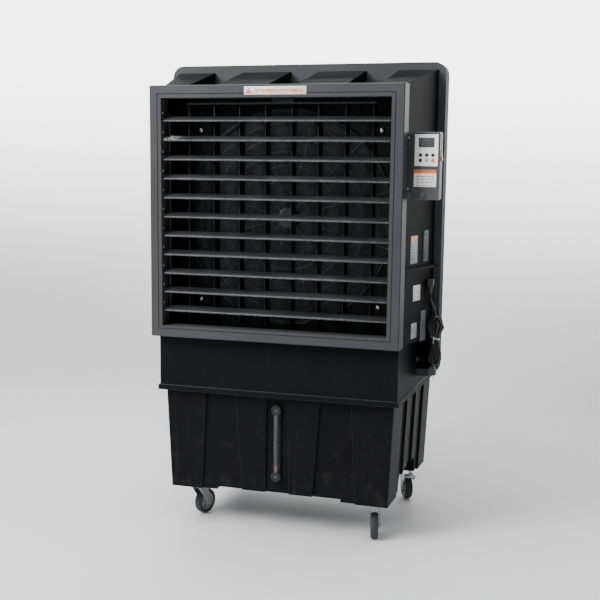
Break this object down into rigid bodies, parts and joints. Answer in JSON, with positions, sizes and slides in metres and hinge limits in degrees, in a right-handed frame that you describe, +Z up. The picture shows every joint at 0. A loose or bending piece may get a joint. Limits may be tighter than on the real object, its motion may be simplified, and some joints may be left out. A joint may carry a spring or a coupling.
{
  "type": "evaporative cooler",
  "caption": "Mobile evaporative air cooler: louvred square outlet with fan behind it, flared cabinet, controller on the side, tapered water tank with level gauge, swivel casters.",
  "frame": {"origin": "on the floor under the middle of the cooler's box, its cord left out", "axes": "+Z up, -Y towards the air outlet, +X towards the controller's side"},
  "size_m": [1.149, 0.78, 1.781],
  "materials": {
    "tank_plastic": "moulded, satin",
    "body_plastic": "moulded, fine grain",
    "frame_plastic": "moulded, satin dark grey",
    "louvre_plastic": "moulded, dusty satin",
    "motor_steel": "painted",
    "shroud_plastic": "moulded",
    "guard_wire": "powder coated wire",
    "fan_plastic": "moulded",
    "pad_cellulose": "corrugated cellulose",
    "grille_plastic": "moulded",
    "water_plastic": "moulded",
    "gauge_clear": "clear tube",
    "float_orange": "gloss",
    "controller_plastic": "moulded",
    "button_dark": "moulded",
    "button_grey": "moulded",
    "button_orange": "moulded",
    "switch_red": "gloss",
    "zinc_steel": "zinc plated",
    "tyre": "moulded rubber",
    "pedal_steel": "zinc plated",
    "cord_rubber": "flexible",
    "plug_plastic": "moulded"
  },
  "bodies": {
    "cabinet": {"tank": "tank_plastic", "lower_housing": "body_plastic", "cabinet_shell": "body_plastic", "rear_housing": "body_plastic", "outlet_frame": "frame_plastic", "swing_motor": "motor_steel", "fan_shroud": "shroud_plastic", "fan_guard": "guard_wire", "fan_motor": "motor_steel", "cooling_pad": "pad_cellulose", "rear_grille": "grille_plastic", "pump_and_riser": "water_plastic", "inlet_valve": "water_plastic", "level_gauge": "gauge_clear", "controller_box": "controller_plastic", "caster_plates": "zinc_steel", "cord_gland": "cord_rubber", "power_cord": "cord_rubber", "cord_hank": "cord_rubber", "plug": "plug_plastic"},
    "louvre_01": {"louvre_01": "louvre_plastic"},
    "louvre_02": {"louvre_02": "louvre_plastic"},
    "louvre_03": {"louvre_03": "louvre_plastic"},
    "louvre_04": {"louvre_04": "louvre_plastic"},
    "louvre_05": {"louvre_05": "louvre_plastic"},
    "louvre_06": {"louvre_06": "louvre_plastic"},
    "louvre_07": {"louvre_07": "louvre_plastic"},
    "louvre_08": {"louvre_08": "louvre_plastic"},
    "louvre_09": {"louvre_09": "louvre_plastic"},
    "louvre_10": {"louvre_10": "louvre_plastic"},
    "louvre_11": {"louvre_11": "louvre_plastic"},
    "louvre_link": {"louvre_link": "louvre_plastic"},
    "vane_1": {"vane_1": "louvre_plastic"},
    "vane_2": {"vane_2": "louvre_plastic"},
    "vane_3": {"vane_3": "louvre_plastic"},
    "vane_4": {"vane_4": "louvre_plastic"},
    "vane_5": {"vane_5": "louvre_plastic"},
    "vane_6": {"vane_6": "louvre_plastic"},
    "vane_7": {"vane_7": "louvre_plastic"},
    "vane_8": {"vane_8": "louvre_plastic"},
    "vane_link": {"vane_link": "louvre_plastic"},
    "fan_impeller": {"fan_impeller": "fan_plastic"},
    "gauge_float": {"gauge_float": "float_orange"},
    "button_1": {"button_1": "button_dark"},
    "button_2": {"button_2": "button_dark"},
    "button_3": {"button_3": "button_dark"},
    "button_4": {"button_4": "button_dark"},
    "button_5": {"button_5": "button_grey"},
    "button_6": {"button_6": "button_orange"},
    "power_switch": {"power_switch": "switch_red"},
    "caster_fork_front_left": {"caster_fork_front_left": "zinc_steel"},
    "caster_wheel_front_left": {"caster_wheel_front_left": "tyre"},
    "caster_fork_front_right": {"caster_fork_front_right": "zinc_steel"},
    "caster_wheel_front_right": {"caster_wheel_front_right": "tyre"},
    "caster_fork_rear_left": {"caster_fork_rear_left": "zinc_steel"},
    "caster_wheel_rear_left": {"caster_wheel_rear_left": "tyre"},
    "brake_pedal_rear_left": {"brake_pedal_rear_left": "pedal_steel"},
    "caster_fork_rear_right": {"caster_fork_rear_right": "zinc_steel"},
    "caster_wheel_rear_right": {"caster_wheel_rear_right": "tyre"},
    "brake_pedal_rear_right": {"brake_pedal_rear_right": "pedal_steel"}
  },
  "joints": [
    {"name": "louvre_01_tilt", "type": "hinge", "parent": "cabinet", "child": "louvre_01", "pos_m": [-0.0225, -0.36, 0.856], "axis": [1, 0, 0], "range_deg": [-44, 31]},
    {"name": "louvre_02_tilt", "type": "hinge", "parent": "cabinet", "child": "louvre_02", "pos_m": [-0.0225, -0.36, 0.9264], "axis": [1, 0, 0], "range_deg": [-44, 31]},
    {"name": "louvre_03_tilt", "type": "hinge", "parent": "cabinet", "child": "louvre_03", "pos_m": [-0.0225, -0.36, 0.9968], "axis": [1, 0, 0], "range_deg": [-44, 31]},
    {"name": "louvre_04_tilt", "type": "hinge", "parent": "cabinet", "child": "louvre_04", "pos_m": [-0.0225, -0.36, 1.0672], "axis": [1, 0, 0], "range_deg": [-44, 31]},
    {"name": "louvre_05_tilt", "type": "hinge", "parent": "cabinet", "child": "louvre_05", "pos_m": [-0.0225, -0.36, 1.1376], "axis": [1, 0, 0], "range_deg": [-44, 31]},
    {"name": "louvre_06_tilt", "type": "hinge", "parent": "cabinet", "child": "louvre_06", "pos_m": [-0.0225, -0.36, 1.208], "axis": [1, 0, 0], "range_deg": [-44, 31]},
    {"name": "louvre_07_tilt", "type": "hinge", "parent": "cabinet", "child": "louvre_07", "pos_m": [-0.0225, -0.36, 1.2784], "axis": [1, 0, 0], "range_deg": [-44, 31]},
    {"name": "louvre_08_tilt", "type": "hinge", "parent": "cabinet", "child": "louvre_08", "pos_m": [-0.0225, -0.36, 1.3488], "axis": [1, 0, 0], "range_deg": [-44, 31]},
    {"name": "louvre_09_tilt", "type": "hinge", "parent": "cabinet", "child": "louvre_09", "pos_m": [-0.0225, -0.36, 1.4192], "axis": [1, 0, 0], "range_deg": [-44, 31]},
    {"name": "louvre_10_tilt", "type": "hinge", "parent": "cabinet", "child": "louvre_10", "pos_m": [-0.0225, -0.36, 1.4896], "axis": [1, 0, 0], "range_deg": [-44, 31]},
    {"name": "louvre_11_tilt", "type": "hinge", "parent": "cabinet", "child": "louvre_11", "pos_m": [-0.0225, -0.36, 1.56], "axis": [1, 0, 0], "range_deg": [-44, 31]},
    {"name": "louvre_link_pivot", "type": "hinge", "parent": "louvre_01", "child": "louvre_link", "pos_m": [-0.4415, -0.33625, 0.86657], "axis": [1, 0, 0], "range_deg": [-31, 44]},
    {"name": "vane_1_swing", "type": "hinge", "parent": "cabinet", "child": "vane_1", "pos_m": [-0.37495, -0.29, 1.206], "axis": [0, 0, 1], "range_deg": [-35, 35]},
    {"name": "vane_2_swing", "type": "hinge", "parent": "cabinet", "child": "vane_2", "pos_m": [-0.27425, -0.29, 1.206], "axis": [0, 0, 1], "range_deg": [-35, 35]},
    {"name": "vane_3_swing", "type": "hinge", "parent": "cabinet", "child": "vane_3", "pos_m": [-0.17355, -0.29, 1.206], "axis": [0, 0, 1], "range_deg": [-35, 35]},
    {"name": "vane_4_swing", "type": "hinge", "parent": "cabinet", "child": "vane_4", "pos_m": [-0.07285, -0.29, 1.206], "axis": [0, 0, 1], "range_deg": [-35, 35]},
    {"name": "vane_5_swing", "type": "hinge", "parent": "cabinet", "child": "vane_5", "pos_m": [0.02785, -0.29, 1.206], "axis": [0, 0, 1], "range_deg": [-35, 35]},
    {"name": "vane_6_swing", "type": "hinge", "parent": "cabinet", "child": "vane_6", "pos_m": [0.12855, -0.29, 1.206], "axis": [0, 0, 1], "range_deg": [-35, 35]},
    {"name": "vane_7_swing", "type": "hinge", "parent": "cabinet", "child": "vane_7", "pos_m": [0.22925, -0.29, 1.206], "axis": [0, 0, 1], "range_deg": [-35, 35]},
    {"name": "vane_8_swing", "type": "hinge", "parent": "cabinet", "child": "vane_8", "pos_m": [0.32995, -0.29, 1.206], "axis": [0, 0, 1], "range_deg": [-35, 35]},
    {"name": "vane_link_pivot", "type": "hinge", "parent": "vane_1", "child": "vane_link", "pos_m": [-0.37495, -0.312, 1.614], "axis": [0, 0, 1], "range_deg": [-35, 35]},
    {"name": "fan_spin", "type": "hinge", "parent": "cabinet", "child": "fan_impeller", "pos_m": [-0.0225, -0.168, 1.2], "axis": [0, 1, 0], "continuous": true},
    {"name": "float_rise", "type": "slide", "parent": "cabinet", "child": "gauge_float", "axis": [0, 0, 1], "range_m": [0, 0.196]},
    {"name": "button_1_press", "type": "slide", "parent": "cabinet", "child": "button_1", "axis": [0, 1, 0], "range_m": [0, 0.0015], "stiffness_N_per_m": 400, "springref_m": -0.0005},
    {"name": "button_2_press", "type": "slide", "parent": "cabinet", "child": "button_2", "axis": [0, 1, 0], "range_m": [0, 0.0015], "stiffness_N_per_m": 400, "springref_m": -0.0005},
    {"name": "button_3_press", "type": "slide", "parent": "cabinet", "child": "button_3", "axis": [0, 1, 0], "range_m": [0, 0.0015], "stiffness_N_per_m": 400, "springref_m": -0.0005},
    {"name": "button_4_press", "type": "slide", "parent": "cabinet", "child": "button_4", "axis": [0, 1, 0], "range_m": [0, 0.0015], "stiffness_N_per_m": 400, "springref_m": -0.0005},
    {"name": "button_5_press", "type": "slide", "parent": "cabinet", "child": "button_5", "axis": [0, 1, 0], "range_m": [0, 0.0015], "stiffness_N_per_m": 400, "springref_m": -0.0005},
    {"name": "button_6_press", "type": "slide", "parent": "cabinet", "child": "button_6", "axis": [0, 1, 0], "range_m": [0, 0.0015], "stiffness_N_per_m": 400, "springref_m": -0.0005},
    {"name": "power_switch_rock", "type": "hinge", "parent": "cabinet", "child": "power_switch", "pos_m": [0.5695, -0.284, 1.436], "axis": [0, 1, 0], "range_deg": [0, 12]},
    {"name": "swivel_front_left", "type": "hinge", "parent": "cabinet", "child": "caster_fork_front_left", "pos_m": [-0.3855, -0.21, 0.122], "axis": [0, 0, 1], "continuous": true},
    {"name": "roll_front_left", "type": "hinge", "parent": "caster_fork_front_left", "child": "caster_wheel_front_left", "pos_m": [-0.37313, -0.17407, 0.05], "axis": [-0.9455, 0.3256, 0], "continuous": true},
    {"name": "swivel_front_right", "type": "hinge", "parent": "cabinet", "child": "caster_fork_front_right", "pos_m": [0.3405, -0.21, 0.122], "axis": [0, 0, 1], "continuous": true},
    {"name": "roll_front_right", "type": "hinge", "parent": "caster_fork_front_right", "child": "caster_wheel_front_right", "pos_m": [0.34969, -0.24687, 0.05], "axis": [0.9703, 0.2419, 0], "continuous": true},
    {"name": "swivel_rear_left", "type": "hinge", "parent": "cabinet", "child": "caster_fork_rear_left", "pos_m": [-0.3855, 0.325, 0.122], "axis": [0, 0, 1], "continuous": true},
    {"name": "roll_rear_left", "type": "hinge", "parent": "caster_fork_rear_left", "child": "caster_wheel_rear_left", "pos_m": [-0.40334, 0.29145, 0.05], "axis": [0.8829, -0.4695, 0], "continuous": true},
    {"name": "brake_rear_left", "type": "hinge", "parent": "caster_fork_rear_left", "child": "brake_pedal_rear_left", "pos_m": [-0.40428, 0.28968, 0.092], "axis": [0.8829, -0.4695, 0], "range_deg": [0, 11]},
    {"name": "swivel_rear_right", "type": "hinge", "parent": "cabinet", "child": "caster_fork_rear_right", "pos_m": [0.3405, 0.325, 0.122], "axis": [0, 0, 1], "continuous": true},
    {"name": "roll_rear_right", "type": "hinge", "parent": "caster_fork_rear_right", "child": "caster_wheel_rear_right", "pos_m": [0.35834, 0.29145, 0.05], "axis": [0.8829, 0.4695, 0], "continuous": true},
    {"name": "brake_rear_right", "type": "hinge", "parent": "caster_fork_rear_right", "child": "brake_pedal_rear_right", "pos_m": [0.35928, 0.28968, 0.092], "axis": [0.8829, 0.4695, 0], "range_deg": [0, 11]}
  ],
  "couplings": [
    {"joint": "louvre_02_tilt", "follows": "louvre_01_tilt", "ratio": 1},
    {"joint": "louvre_03_tilt", "follows": "louvre_01_tilt", "ratio": 1},
    {"joint": "louvre_04_tilt", "follows": "louvre_01_tilt", "ratio": 1},
    {"joint": "louvre_05_tilt", "follows": "louvre_01_tilt", "ratio": 1},
    {"joint": "louvre_06_tilt", "follows": "louvre_01_tilt", "ratio": 1},
    {"joint": "louvre_07_tilt", "follows": "louvre_01_tilt", "ratio": 1},
    {"joint": "louvre_08_tilt", "follows": "louvre_01_tilt", "ratio": 1},
    {"joint": "louvre_09_tilt", "follows": "louvre_01_tilt", "ratio": 1},
    {"joint": "louvre_10_tilt", "follows": "louvre_01_tilt", "ratio": 1},
    {"joint": "louvre_11_tilt", "follows": "louvre_01_tilt", "ratio": 1},
    {"joint": "louvre_link_pivot", "follows": "louvre_01_tilt", "ratio": -1},
    {"joint": "vane_2_swing", "follows": "vane_1_swing", "ratio": 1},
    {"joint": "vane_3_swing", "follows": "vane_1_swing", "ratio": 1},
    {"joint": "vane_4_swing", "follows": "vane_1_swing", "ratio": 1},
    {"joint": "vane_5_swing", "follows": "vane_1_swing", "ratio": 1},
    {"joint": "vane_6_swing", "follows": "vane_1_swing", "ratio": 1},
    {"joint": "vane_7_swing", "follows": "vane_1_swing", "ratio": 1},
    {"joint": "vane_8_swing", "follows": "vane_1_swing", "ratio": 1},
    {"joint": "vane_link_pivot", "follows": "vane_1_swing", "ratio": -1}
  ]
}
